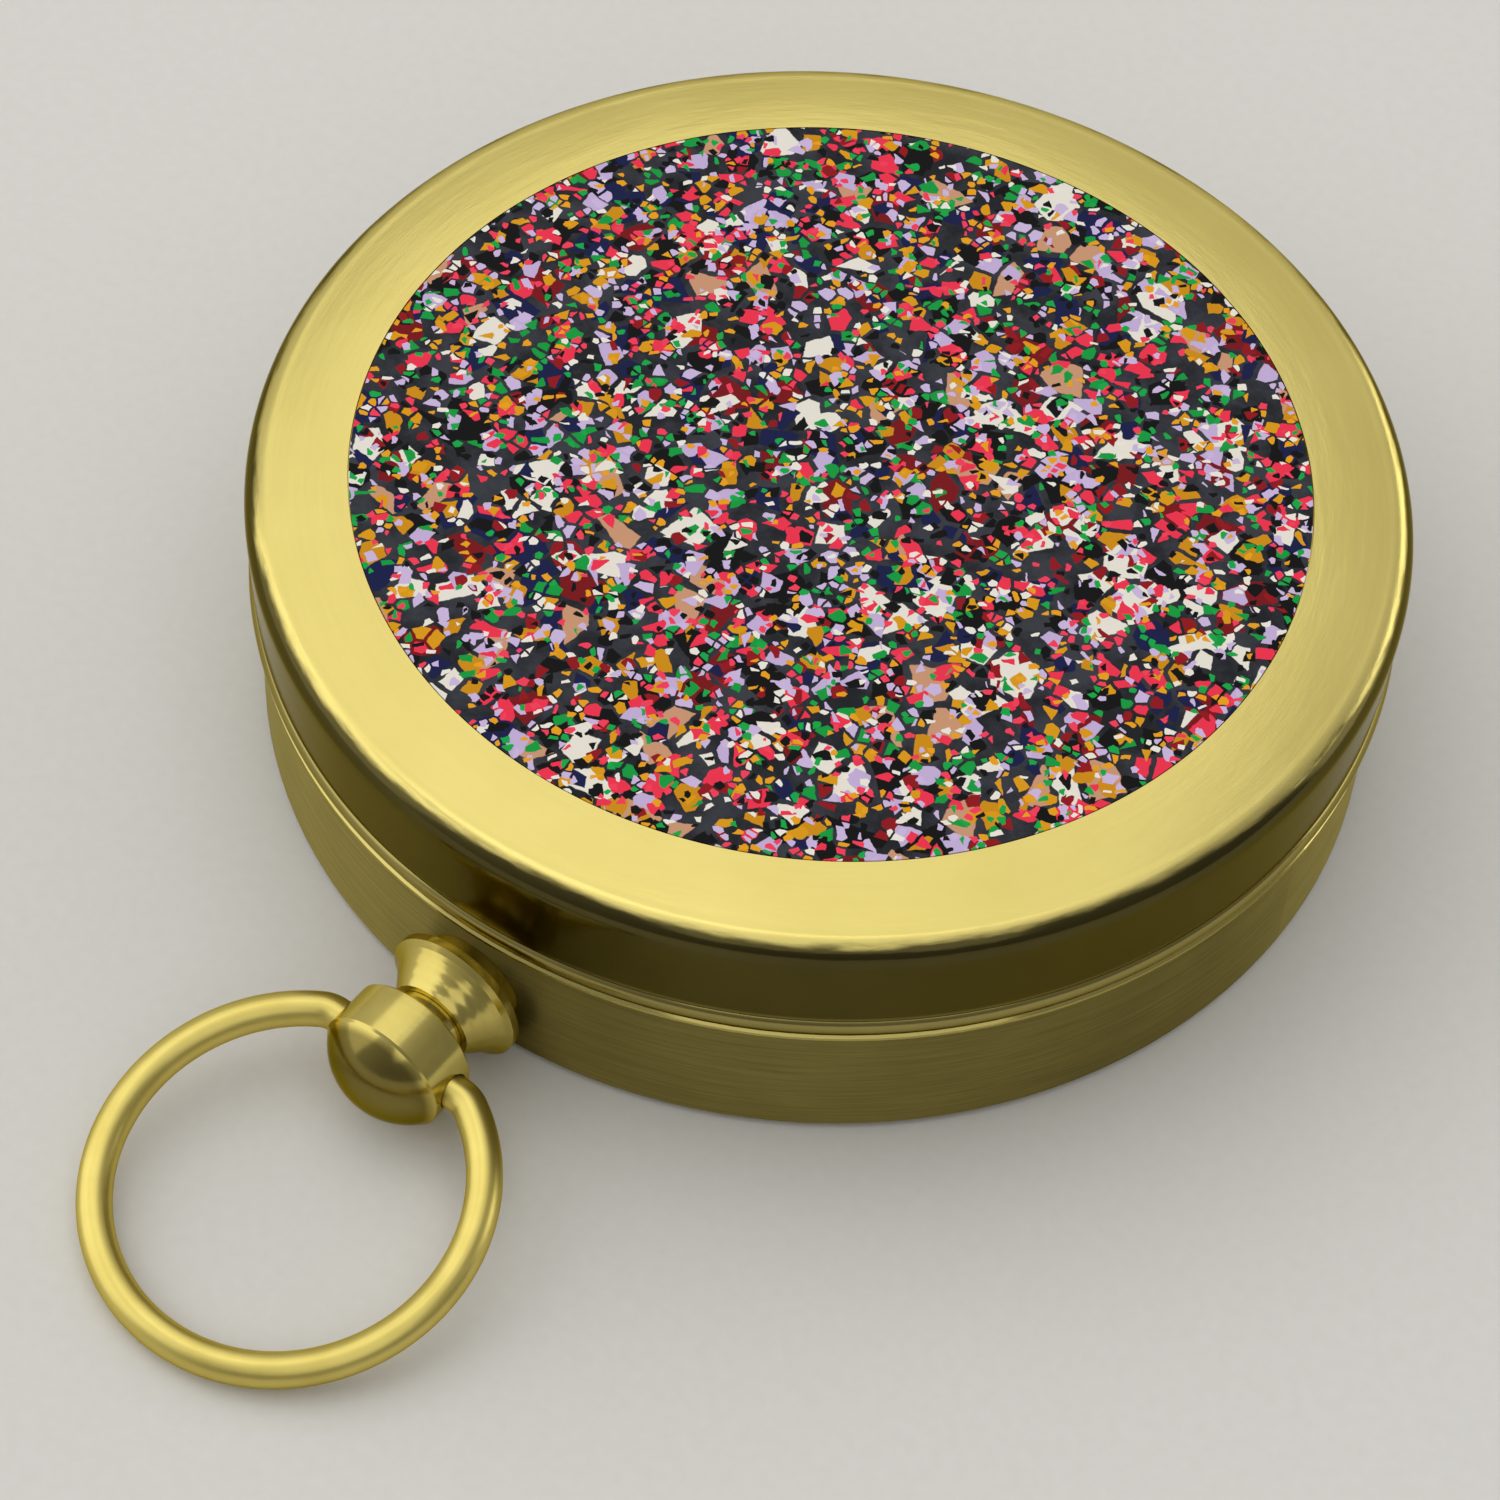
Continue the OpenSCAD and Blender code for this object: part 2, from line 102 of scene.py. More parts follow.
def prisms(low, high):
    """Closed flat prisms between matched outlines, given as n x k x 3 corners.

    The corners of high run anticlockwise seen from outside, and low lies under them.
    """
    count, k, _ = high.shape
    points = np.concatenate([low, high], 1).reshape(-1, 3)
    start = 2 * k * np.arange(count)[:, None]
    ring = np.arange(k)
    after = (ring + 1) % k
    sides = start[:, :, None] + np.stack([ring, after, k + after, k + ring], 1)
    ends = [*(start + k + ring).tolist(), *(start + ring[::-1]).tolist()]
    return points, ends + sides.reshape(-1, 4).tolist()


# ---------------------------------------------------------------- shader nodes

def linear(hex_colour):
    """sRGB hex colour as linear RGBA: c / 12.92 up to 0.04045, above it ((c + 0.055) / 1.055) ** 2.4."""
    c = np.array([int(hex_colour[i:i + 2], 16) for i in (1, 3, 5)]) / 255
    return (*np.where(c <= 0.04045, c / 12.92, ((c + 0.055) / 1.055) ** 2.4).tolist(), 1.0)


def wire_up(node, **parts):
    """Sets a node's properties and inputs.

    s3= is input number 3, a socket or node is linked, and stops= fills a ramp.
    """
    for name, value in parts.items():
        numbered = name[1:].isdigit()
        socket = node.inputs[int(name[1:])] if numbered else node.inputs.get(name.replace("_", " "))
        if name == "stops":
            ramp = node.color_ramp
            ramp.interpolation = "CONSTANT"
            while len(ramp.elements) < len(value):
                ramp.elements.new(1.0)
            for element, (at, colour) in zip(ramp.elements, value):
                element.position, element.color = at, linear(colour)
        elif socket is None:
            setattr(node, name, value)
        elif isinstance(value, bpy.types.Node):
            node.id_data.links.new(value.outputs[0], socket)
        elif isinstance(value, bpy.types.NodeSocket):
            node.id_data.links.new(value, socket)
        else:
            socket.default_value = value
    return node


def add(tree, kind, **parts):
    """Adds one shader node with its settings and links."""
    return wire_up(tree.nodes.new("ShaderNode" + kind), **parts)


def new_material(name):
    """Empty node material: its tree and its shader."""
    material = bpy.data.materials.new(name)
    material.use_nodes = True
    return material, material.node_tree, material.node_tree.nodes["Principled BSDF"]


def own_place(tree):
    """Place of the seen point on its piece, in metres."""
    return add(tree, "TexCoord").outputs["Object"]


def noise(tree, place, size, detail, **more):
    """Clouds of a size, as a value from 0 to 1."""
    return add(tree, "TexNoise", Vector=place, Scale=1 / size, Detail=detail, **more).outputs["Fac"]


def times(tree, first, second):
    """first * second"""
    return add(tree, "Math", operation="MULTIPLY", s0=first, s1=second)


def times_plus(tree, value, factor, plus):
    """value * factor + plus"""
    return add(tree, "Math", operation="MULTIPLY_ADD", s0=value, s1=factor, s2=plus)


def stretched(tree, place, factors):
    """Each axis of a place times its own factor."""
    return add(tree, "VectorMath", operation="MULTIPLY", s0=place, s1=factors)


def bumped(tree, height, strength, distance, **more):
    """Normal of a surface that is raised by height * distance, in metres."""
    return add(tree, "Bump", Strength=strength, Distance=distance, Height=height, **more)


def blend(tree, factor, first, second):
    """Two colours, hex or sockets, mixed by a factor."""
    sides = [linear(c) if isinstance(c, str) else c for c in (first, second)]
    return add(tree, "Mix", data_type="RGBA", s0=factor, s6=sides[0], s7=sides[1]).outputs[2]


def ramped(tree, value, low, high, to_low=0.0, to_high=1.0):
    """Smooth step of a value from low to high."""
    return add(tree, "MapRange", interpolation_type="SMOOTHSTEP", Value=value, From_Min=low, From_Max=high,
               To_Min=to_low, To_Max=to_high).outputs["Result"]


def turning_lines(tree, pitch, drift, centre=(0, 0, 0), turn=(0, 0, 0)):
    """Noise that runs in rings round the lathe's axis.

    It reads radius and height over the line pitch, and the place around far more slowly over
    the drift, so that each line slowly fades in and out along its ring. Also gives the place.
    """
    place = add(tree, "Mapping", Location=centre, Rotation=turn, Vector=own_place(tree))
    axes = add(tree, "SeparateXYZ", Vector=place)
    across = add(tree, "CombineXYZ", X=axes.outputs["X"], Y=axes.outputs["Y"])
    radius = add(tree, "VectorMath", operation="LENGTH", s0=across).outputs["Value"]
    profile = add(tree, "CombineXYZ", X=radius, Y=axes.outputs["Z"], Z=axes.outputs["X"])
    scaled = stretched(tree, profile, (1 / pitch, 1 / pitch, 1 / drift))
    slow = add(tree, "Math", operation="DIVIDE", s0=axes.outputs["Y"], s1=drift)
    return noise(tree, scaled, 1.0, 3.0, noise_dimensions="4D", W=slow, Roughness=0.6), axes


# ---------------------------------------------------------------- materials

# Brass keeps its yellow where it is seen at a low angle
EDGE_TINT = linear("#DDD09A")


def lacquered_lid():
    """Spun brass under clear lacquer: a satin top, wiped in rings, and a smoother side whose colour is
    painted darker, a painted shade.

    The eye sees a soft sheen with slow streaks on top, a shoulder where the painted shade begins in
    streaks, a deep olive side of painted shade, a satin bead painted somewhat darker than the top, and a
    painted shade line above it.
    """
    material, tree, shader = new_material("lacquered_spun_brass_lid")
    # Wiping lines are 0.05 mm apart: drawn at 0.16 mm so that they show
    lines, axes = turning_lines(tree, 0.16 * MM, 9 * MM)
    place, height = own_place(tree), axes.outputs["Z"]
    # Painted shade: the side's darker colour reaches over the shoulder and ends high on it, in streaks that
    # follow the turning; the same mask makes the top rougher
    rolled, _ = turning_lines(tree, 0.5 * MM, 3.2 * MM)
    edge = times_plus(tree, rolled, 0.42 * MM, height)
    on_top = ramped(tree, edge, SHOULDER_TOP - 0.07 * MM, SHOULDER_TOP + 0.15 * MM)
    above_bead = ramped(tree, height, CREASE, CREASE + 0.3 * MM)
    # Thin toning of the metal under the lacquer, in clouds of 5 mm
    clouds = noise(tree, place, 5 * MM, 4.0)
    top = blend(tree, clouds, "#DFCE7C", "#D2C16E")
    # Painted shade: the side, and less so the bead, are painted darker than the top's brass
    side = blend(tree, clouds, "#5A5229", "#463E1E")
    bead = blend(tree, clouds, "#A5985A", "#8D8147")
    colour = blend(tree, on_top, blend(tree, above_bead, bead, side), top)
    # Painted shade lies in the crease and thins out to nothing 0.16 mm above it
    crease_shade_full = CREASE + 0.01 * MM
    crease_shade = times(tree, ramped(tree, height, CREASE, crease_shade_full),
                 ramped(tree, height, crease_shade_full, CREASE + 0.16 * MM, 0.8, 0.0))
    colour = blend(tree, crease_shade, colour, "#2E2A12")
    # Sheet left by the spinning wheel: slow waves of 7 mm, and short ones round the turned over shoulder
    long_waves = noise(tree, place, 7 * MM, 1.0)
    wave_height = ramped(tree, height, SHOULDER_FOOT, SHOULDER_TOP - 0.5 * MM, 0.0, 0.016 * MM)
    waves = times_plus(tree, long_waves, 0.03 * MM, times(tree, rolled, wave_height))
    form = bumped(tree, waves, 1.0, 1.0)
    grain = bumped(tree, lines, 0.35, 0.004 * MM, Normal=form)
    rough = times_plus(tree, lines, 0.10, ramped(tree, on_top, 0, 1, 0.12, 0.2))
    wire_up(shader, Base_Color=colour, Roughness=rough, Normal=grain, Metallic=1.0,
            Specular_Tint=EDGE_TINT, Coat_Weight=0.12, Coat_Roughness=0.1)
    return material


def lacquered_base():
    """Spun brass cup, brushed round its wall and lacquered: fine level lines, satin, a wall colour painted
    darker as painted shade, and a bright lip and neck.
    """
    material, tree, shader = new_material("lacquered_brushed_brass_base")
    # Brushing is about 0.04 mm fine: drawn at 0.12 mm
    lines, axes = turning_lines(tree, 0.12 * MM, 5 * MM)
    clouds = noise(tree, own_place(tree), 4 * MM, 5.0)
    # Painted shade: the wall's brass is painted darker than the lip's
    wall = blend(tree, clouds, "#9E9150", "#867A42")
    wall = blend(tree, ramped(tree, lines, 0.3, 0.75, 0.0, 0.4), wall, "#62582F")
    on_lip = ramped(tree, axes.outputs["Z"], lid_low.z - 0.42 * MM, lid_low.z - 0.3 * MM)
    colour = blend(tree, on_lip, wall, "#C0B269")
    rough = times_plus(tree, lines, 0.16, ramped(tree, on_lip, 0, 1, 0.46, 0.08))
    bump = bumped(tree, lines, 0.5, 0.006 * MM)
    # The brushed rings spread a highlight across themselves, up and down the wall
    around = add(tree, "Tangent", direction_type="RADIAL", axis="Z")
    wire_up(shader, Base_Color=colour, Roughness=rough, Normal=bump, Metallic=1.0,
            Specular_Tint=EDGE_TINT, Anisotropic=0.9, Anisotropic_Rotation=0.25, Tangent=around,
            Coat_Weight=0.08, Coat_Roughness=0.15)
    return material


def turned_brass(name, light, dark, pitch, rough, centre=(0, 0, 0), turn=(0, 0, 0), painted_shade_span=(1, 2),
                 grooves=(1, 2)):
    """Brass turned on a lathe and then buffed: bright, with fine tool rings that catch the light.

    Past the places along the axis given for its painted shade the colour is painted darker, a painted shade.
    Past the places given as grooves the tool left coarser rings, height = 0.007 mm * sin(15 * along in mm).
    Both start a metre off where a piece has none.
    """
    material, tree, shader = new_material(name)
    lines, axes = turning_lines(tree, pitch, 3 * MM, centre, turn)
    along = axes.outputs["Z"]
    colour = blend(tree, noise(tree, own_place(tree), 1.5 * MM, 4.0), light, dark)
    # Painted shade: the colour goes darker past its given span along the axis
    colour = blend(tree, ramped(tree, along, *painted_shade_span, 0.0, 0.8), colour, "#63572B")
    # 15 radians per mm set the rings 0.42 mm apart
    rings = add(tree, "Math", operation="SINE", s0=times(tree, along, 15 / MM))
    rings = times(tree, rings, ramped(tree, along, *grooves, 0.0, 0.007 * MM))
    bump = bumped(tree, times_plus(tree, lines, 0.0012 * MM, rings), 1.0, 1.0)
    wire_up(shader, Base_Color=colour, Roughness=times_plus(tree, lines, 0.14, rough), Normal=bump,
            Metallic=1.0, Specular_Tint=EDGE_TINT)
    return material


def drawn_wire():
    """Brass wire, drawn through a die and polished: bright, with faint lines that run along it."""
    material, tree, shader = new_material("drawn_brass_wire")
    # Its attribute holds the place round the wire and the length along it, in metres
    along = add(tree, "Attribute", attribute_name="wire_place").outputs["Vector"]
    # Lines are 0.1 mm wide and 6 mm long
    scaled = stretched(tree, along, (1 / (0.1 * MM), 1 / (0.1 * MM), 1 / (6 * MM)))
    lines = noise(tree, scaled, 1.0, 3.0)
    colour = blend(tree, noise(tree, along, 2 * MM, 3.0), "#E2D17A", "#C9B65E")
    wire_up(shader, Base_Color=colour, Roughness=times_plus(tree, lines, 0.2, 0.26), Metallic=1.0,
            Normal=bumped(tree, lines, 0.5, 0.004 * MM), Specular_Tint=EDGE_TINT)
    return material


# Fleck size in mm, share of cells that hold one, bare gap round it, and its inks
FLECK_LAYERS = [
    (1.7, 0.50, 0.09, ["#0C0C0E", "#EAE5D9", "#161C48", "#7A1219", "#0C0C0E", "#CC9876"]),
    (1.0, 0.43, 0.10, ["#F03450", "#EAE5D9", "#0C0C0E", "#C6B0DA", "#D08E10", "#161C48"]),
    (0.63, 0.43, 0.11, ["#109C40", "#F03450", "#0C0C0E", "#DD9B12", "#CDB9E0", "#92141C"]),
    (0.38, 0.38, 0.12, ["#EEE9DD", "#EBA21A", "#0C0C0E", "#F5405C", "#14A848", "#CDB9E0"]),
]
# Each layer's cells start this much further off than the last layer's, in metres
LAYER_SHIFT = (0.013, 0.007)


def flecked_film():
    """Ink printed on a satin film: a terrazzo of flecks on slate, flat to the touch."""
    material, tree, shader = new_material("flecked_print_under_gloss")
    place = own_place(tree)
    # Small waves of 0.45 mm soften the straight sides of the flecks
    waves = add(tree, "TexNoise", Vector=place, Scale=1 / (0.45 * MM), Detail=2.0).outputs["Color"]
    waved = add(tree, "VectorMath", operation="MULTIPLY_ADD", s0=waves, s1=(0.2 * MM,) * 3, s2=place)
    flat = stretched(tree, waved, (1, 1, 0))
    ground = noise(tree, place, 2.5 * MM, 6.0, Roughness=0.65)
    colour = blend(tree, ramped(tree, ground, 0.35, 0.65), "#1E2025", "#3A3D44")
    for number, (size, share, gap, inks) in enumerate(FLECK_LAYERS):
        shift = (LAYER_SHIFT[0] * number, LAYER_SHIFT[1] * number, 0)
        cell = dict(voronoi_dimensions="2D", Scale=1 / (size * MM),
                    Vector=add(tree, "VectorMath", operation="ADD", s0=flat, s1=shift))
        chance = add(tree, "SeparateColor", Color=add(tree, "TexVoronoi", **cell).outputs["Color"])
        edge = add(tree, "TexVoronoi", feature="DISTANCE_TO_EDGE", **cell).outputs["Distance"]
        stops = [(i / len(inks), ink) for i, ink in enumerate(inks)]
        ink = add(tree, "ValToRGB", Fac=chance.outputs["Red"], stops=stops).outputs["Color"]
        held = add(tree, "Math", operation="LESS_THAN", s0=chance.outputs["Green"], s1=share)
        colour = blend(tree, times(tree, held, ramped(tree, edge, gap, gap + 0.03)), colour, ink)
    # The film has a slow ripple of 1.5 mm
    bump = bumped(tree, noise(tree, place, 1.5 * MM, 1.0), 0.2, 0.01 * MM)
    wire_up(shader, Base_Color=colour, Roughness=0.45, Normal=bump, Specular_IOR_Level=0.08)
    return material


def silvered():
    """Silvered brass, wiped round with fine grain: pale, cool and soft."""
    material, tree, shader = new_material("silvered_brass")
    lines, _ = turning_lines(tree, 0.1 * MM, 4 * MM)
    wire_up(shader, Base_Color=blend(tree, lines, "#D9D7CF", "#BDBAB0"), Metallic=1.0,
            Roughness=times_plus(tree, lines, 0.15, 0.3), Normal=bumped(tree, lines, 0.4, 0.003 * MM))
    return material


def coated_card():
    """Coated paper card, slightly aged: cream, matte, with a faint fibre."""
    material, tree, shader = new_material("coated_card")
    place = own_place(tree)
    fibre = noise(tree, place, 0.25 * MM, 5.0)
    aging = noise(tree, place, 12 * MM, 3.0)
    paper = blend(tree, ramped(tree, aging, 0.3, 0.7), "#EFE8D3", "#E6DCC0")
    colour = blend(tree, ramped(tree, fibre, 0.4, 0.9, 0.0, 0.3), paper, "#D8CDAE")
    wire_up(shader, Base_Color=colour, Roughness=0.62, Normal=bumped(tree, fibre, 0.2, 0.01 * MM))
    return material


def printing_ink(name, full, thin):
    """Screen printed ink: nearly even, a little thinner in places, with a low sheen."""
    material, tree, shader = new_material(name)
    cover = noise(tree, own_place(tree), 0.4 * MM, 4.0)
    wire_up(shader, Base_Color=blend(tree, ramped(tree, cover, 0.45, 0.8), full, thin), Roughness=0.4)
    return material


def bright_steel(name, light, dark, rough, pitch):
    """Ground and hardened steel: cool grey with fine turned lines."""
    material, tree, shader = new_material(name)
    lines, _ = turning_lines(tree, pitch, 2 * MM)
    wire_up(shader, Base_Color=blend(tree, lines, light, dark), Metallic=1.0,
            Roughness=times_plus(tree, lines, 0.15, rough))
    return material


def blued_needle():
    """Blued spring steel, ground lengthwise, with its north arm lacquered red up to the eye."""
    material, tree, shader = new_material("blued_steel_needle")
    place = own_place(tree)
    # Grinding lines are 0.08 mm wide and 3 mm long
    grind = noise(tree, stretched(tree, place, (1 / (0.08 * MM), 1 / (3 * MM), 1)), 1.0, 3.0)
    north = add(tree, "SeparateXYZ", Vector=place).outputs["Y"]
    painted = ramped(tree, north, 3.55 * MM, 3.65 * MM)
    blued = blend(tree, grind, "#1B2C5E", "#34498A")
    red = blend(tree, grind, "#B3231F", "#C5332B")
    wire_up(shader, Base_Color=blend(tree, painted, blued, red),
            Metallic=ramped(tree, painted, 0, 1, 1.0, 0.0),
            Roughness=times_plus(tree, grind, 0.12, 0.24), Normal=bumped(tree, grind, 0.25, 0.003 * MM))
    return material


def ruby():
    """Polished synthetic ruby: deep clear red with a faint cloud."""
    material, tree, shader = new_material("synthetic_ruby")
    cloud = noise(tree, own_place(tree), 0.5 * MM, 2.0)
    wire_up(shader, Base_Color=blend(tree, cloud, "#C21E3C", "#9A1230"), Roughness=0.05, IOR=1.76,
            Transmission_Weight=0.6)
    return material


def window_glass():
    """Clear cut glass: almost colourless, with faint wiping marks in its polish."""
    material, tree, shader = new_material("clear_glass")
    marks = noise(tree, own_place(tree), 4 * MM, 6.0)
    wire_up(shader, Base_Color=blend(tree, marks, "#FBFFFE", "#F3FAF8"), IOR=1.5,
            Roughness=ramped(tree, marks, 0.4, 0.8, 0.0, 0.05), Transmission_Weight=1.0)
    return material


def seal_rubber():
    """Moulded black nitrile rubber: matte, with a fine moulded grain."""
    material, tree, shader = new_material("black_nitrile_rubber")
    grain = noise(tree, own_place(tree), 0.15 * MM, 3.0)
    wire_up(shader, Base_Color=blend(tree, grain, "#161616", "#262625"), Roughness=0.75,
            Normal=bumped(tree, grain, 0.3, 0.01 * MM))
    return material


# The pendant's lathe axis runs outward from the case's middle, at the height of the knob's hole.
# Along it the knob's dome is painted darker past its straight band, a painted shade, and the collar's cone
# is grooved.
ON_PENDANT = dict(centre=(0, -knob_hole.z, 0), turn=(-math.pi / 2, 0, 0))
KNOB_PAINTED_SHADE = (30.6 * MM, 31.0 * MM)
COLLAR_GROOVED = (26.1 * MM, 26.9 * MM)
brass_knob = turned_brass("buffed_brass_knob", "#DDCC78", "#C2B05C", 0.14 * MM, 0.1, **ON_PENDANT,
                          painted_shade_span=KNOB_PAINTED_SHADE)
brass_collar = turned_brass("turned_brass_collar", "#D5C471", "#B6A453", 0.14 * MM, 0.12, **ON_PENDANT,
                            grooves=COLLAR_GROOVED)
brass_fittings = turned_brass("small_turned_brass", "#D6C06A", "#BFA850", 0.1 * MM, 0.16)
silver = silvered()
steel = bright_steel("ground_steel", "#B9BDC1", "#94989D", 0.18, 0.08 * MM)
card_ink = printing_ink("black_dial_ink", "#1B1D22", "#34373D")
rose_ink = printing_ink("navy_dial_ink", "#1C2C55", "#31437A")

dressing = {
    "lid_shell": lacquered_lid(), "case_base": lacquered_base(), "lid_print_disc": flecked_film(),
    "pendant_collar": brass_collar, "pendant_knob": brass_knob,
    "dial_screws": brass_fittings, "pivot_bush": brass_fittings, "snap_ring": brass_fittings,
    "pendant_washer": brass_fittings, "needle_cap": brass_fittings, "needle_balance": brass_fittings,
    "bail_ring": brass_fittings, "chapter_ring": silver, "dial_plate": silver,
    "dial_card": coated_card(), "pivot_pin": steel, "pendant_screw": steel,
    "needle_blade": blued_needle(), "needle_jewel": ruby(), "crystal": window_glass(),
    "glass_seal": seal_rubber(),
}
for name, material in dressing.items():
    part[name].data.materials.clear()
    part[name].data.materials.append(material)


# ---------------------------------------------------------------- lid, pressed from sheet

def arc(centre_r, centre_z, radius, from_angle, to_angle, count):
    """Profile points (r, z) = centre + radius * (cos a, sin a)."""
    a = np.linspace(from_angle, to_angle, count)
    return np.stack([centre_r + radius * np.cos(a), centre_z + radius * np.sin(a)], 1)


def pressed_lid():
    """Surface of revolution: every profile point (r, z) goes to (r cos a, r sin a, z).

    The profile runs out under the ceiling, down the bore, round the half round bead, up the leaning
    wall, over the shoulder's arc, in along a crown z = seat - drop * run ^ 2, and down into the print's
    seat. Its first and last rings each close on a point on the axis.
    """
    rim, foot, top = lid_high.x, lid_low.z, lid_high.z
    bead_r, shoulder_r, inner_r, fall = 0.575 * MM, 1.05 * MM, 0.4 * MM, math.radians(5)
    bore, ceiling, seat_r = rim - 0.8 * MM, top - 0.9 * MM, print_high.x + 0.05 * MM
    quarter = math.pi / 2

    inner = arc(bore - inner_r, ceiling - inner_r, inner_r, quarter, 0, 8)
    crease_angle = math.asin((CREASE - foot) / bead_r - 1)
    bead = arc(rim - bead_r, foot + bead_r, bead_r, -quarter, crease_angle, 28)
    shoulder_z = SHOULDER_TOP - shoulder_r
    shoulder = arc(rim - shoulder_r, shoulder_z, shoulder_r, 0, quarter - fall, 28)
    wall = np.stack([np.linspace(bead[-1, 0], rim, 8), np.linspace(CREASE, shoulder_z, 8)], 1)
    crown_r = np.linspace(shoulder[-1, 0], seat_r, 24)[1:]
    run = (crown_r - seat_r) / (crown_r[0] - seat_r)
    drop = top - shoulder[-1, 1]
    # Flat floors are made of rings at these shares of their radius
    shares = np.linspace(1, 0, 9)[:-1]
    profile = np.concatenate([
        np.stack([(bore - inner_r) * shares[::-1], np.full(len(shares), ceiling)], 1),
        inner[1:],
        np.stack([np.full(6, bore), np.linspace(ceiling - inner_r, foot, 7)[1:]], 1),
        bead,
        wall[1:-1],
        shoulder,
        np.stack([crown_r, top - drop * run ** 2], 1),
        np.stack([seat_r * shares, np.full(len(shares), print_low.z)], 1)])

    turns = 360
    around = np.linspace(0, 2 * math.pi, turns, endpoint=False)
    r, z = profile[:, :1], profile[:, 1:]
    rows = np.stack([r * np.cos(around), r * np.sin(around), z + 0 * around], -1)
    points = np.concatenate([rows.reshape(-1, 3), [[0, 0, ceiling], [0, 0, print_low.z]]])
    faces = tube_faces(len(profile), turns)[:-2]
    ring = np.arange(turns)
    after = (ring + 1) % turns
    last_row = turns * (len(profile) - 1)
    ceiling_point = np.full(turns, turns * len(profile))
    faces += np.stack([ceiling_point, after, ring], 1).tolist()
    faces += np.stack([ceiling_point + 1, last_row + ring, last_row + after], 1).tolist()
    return points, faces


lid = make_piece("pressed_lid", *pressed_lid(), dressing["lid_shell"], "lid", "lacquered_brass")
lid.data.set_sharp_from_angle(angle=math.radians(28))
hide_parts("lid_shell")


# ---------------------------------------------------------------- bail ring, bent from one wire

def bail_wire():
    """A round bar carried along one flat line: out of the knob, round a bend, round the ring and back.

    Point = line + radius * (cos a * side + sin a * normal), with side square to the line in its
    plane. The line is a straight, an arc that turns it by the ring's start angle, and the ring. In its
    plane u runs sideways and v outward from the knob's hole, and way is the angle that it has turned.
    """
    wire_r, ring_r, chamfer = 0.75 * MM, 7.95 * MM, 0.12 * MM
    # The straight runs from end_x to bend_x, and the bend takes bend_l more
    end_x, bend_x, bend_l = 1.1 * MM, 3.2 * MM, 0.75 * MM
    start = math.asin((bend_x + bend_l) / ring_r)
    bend_r = bend_l / math.sin(start)
    centre_v = bend_r * (1 - math.cos(start)) + ring_r * math.cos(start)
    straight = np.linspace(end_x, bend_x, 12)[:-1]
    bend = np.linspace(0, start, 16)[:-1]
    ring = np.linspace(start, math.pi, 110)
    u = np.concatenate([straight, bend_x + bend_r * np.sin(bend), ring_r * np.sin(ring)])
    v = np.concatenate([0 * straight, bend_r * (1 - np.cos(bend)), centre_v - ring_r * np.cos(ring)])
    way = np.concatenate([0 * straight, bend, ring])
    # The other half mirrors the first
    u, v = np.concatenate([u, -u[-2::-1]]), np.concatenate([v, v[-2::-1]])
    way = np.concatenate([way, 2 * math.pi - way[-2::-1]])
    length = np.concatenate([[0], np.cumsum(np.hypot(np.diff(u), np.diff(v)))])
    # The sawn ends are broken with a small chamfer
    from_end = np.minimum(length, length[-1] - length)
    radius = wire_r - np.clip(chamfer - from_end, 0, None)

    # The ring leans down from the knob's hole until it lies on the ground
    lie = math.asin((knob_hole.z - wire_r) / (centre_v + ring_r))
    outward = np.array([0, -math.cos(lie), -math.sin(lie)])
    normal = np.array([0, -math.sin(lie), math.cos(lie)])
    sideways = np.array([1.0, 0, 0])
    line = np.array(knob_hole) + u[:, None] * sideways + v[:, None] * outward
    side = np.sin(way)[:, None] * sideways - np.cos(way)[:, None] * outward
    around = np.linspace(0, 2 * math.pi, 36, endpoint=False)
    ring_points = side[:, None] * np.cos(around)[None, :, None] + normal * np.sin(around)[None, :, None]
    points = line[:, None] + radius[:, None, None] * ring_points
    place = np.stack(np.broadcast_arrays(wire_r * np.cos(around), wire_r * np.sin(around),
                                         length[:, None]), -1)
    return points.reshape(-1, 3), tube_faces(len(u), len(around)), place.reshape(-1, 3)


points, faces, place = bail_wire()
bail = make_piece("bail_wire", points, faces, drawn_wire(), "bail", "polished_brass")
bail.data.attributes.new("wire_place", "FLOAT_VECTOR", "POINT").data.foreach_set("vector", place.ravel())
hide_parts("bail_ring")


# ---------------------------------------------------------------- printing on the dial

INK = 0.015 * MM


def lay_flat(radius, angle):
    """Point on the ink's top: radius outward, and angle clockwise from north as on a compass."""
    height = np.full(radius.shape, card_top + INK)
    return np.stack([radius * np.sin(angle), radius * np.cos(angle), height], -1)


def print_card(name, points, faces, material):
    """Ink on the dial's card, with plain flat sides."""
    return make_piece(name, points, faces, material, "case", "printed_card", smooth=False)


def print_outlines(name, high, material):
    """Flat ink with the outlines given, n x k x 3 corners on its top."""
    return print_card(name, *prisms(high - [0, 0, INK], high), material)


def dial_scale():
    """A mark every 2 degrees, longer and wider at every 10 and 30.

    Each runs straight from its inner to the outer radius, and half its width is an angle of
    width / 2 / radius at either end.
    """
    degrees = np.arange(0, 360, 2)
    rank = (degrees % 10 == 0).astype(int) + (degrees % 30 == 0)
    inner = np.array([18.55, 18.1, 17.8])[rank] * MM
    widths = np.array([0.1, 0.16, 0.24])[rank] * MM
    outer = np.full(len(degrees), 19.35 * MM)
    radius = np.stack([inner, inner, outer, outer], 1)
    swing = np.stack([-widths, widths, widths, -widths], 1) / 2 / radius
    high = lay_flat(radius, np.radians(degrees)[:, None] + swing)
    return print_outlines("dial_scale_print", high, card_ink)


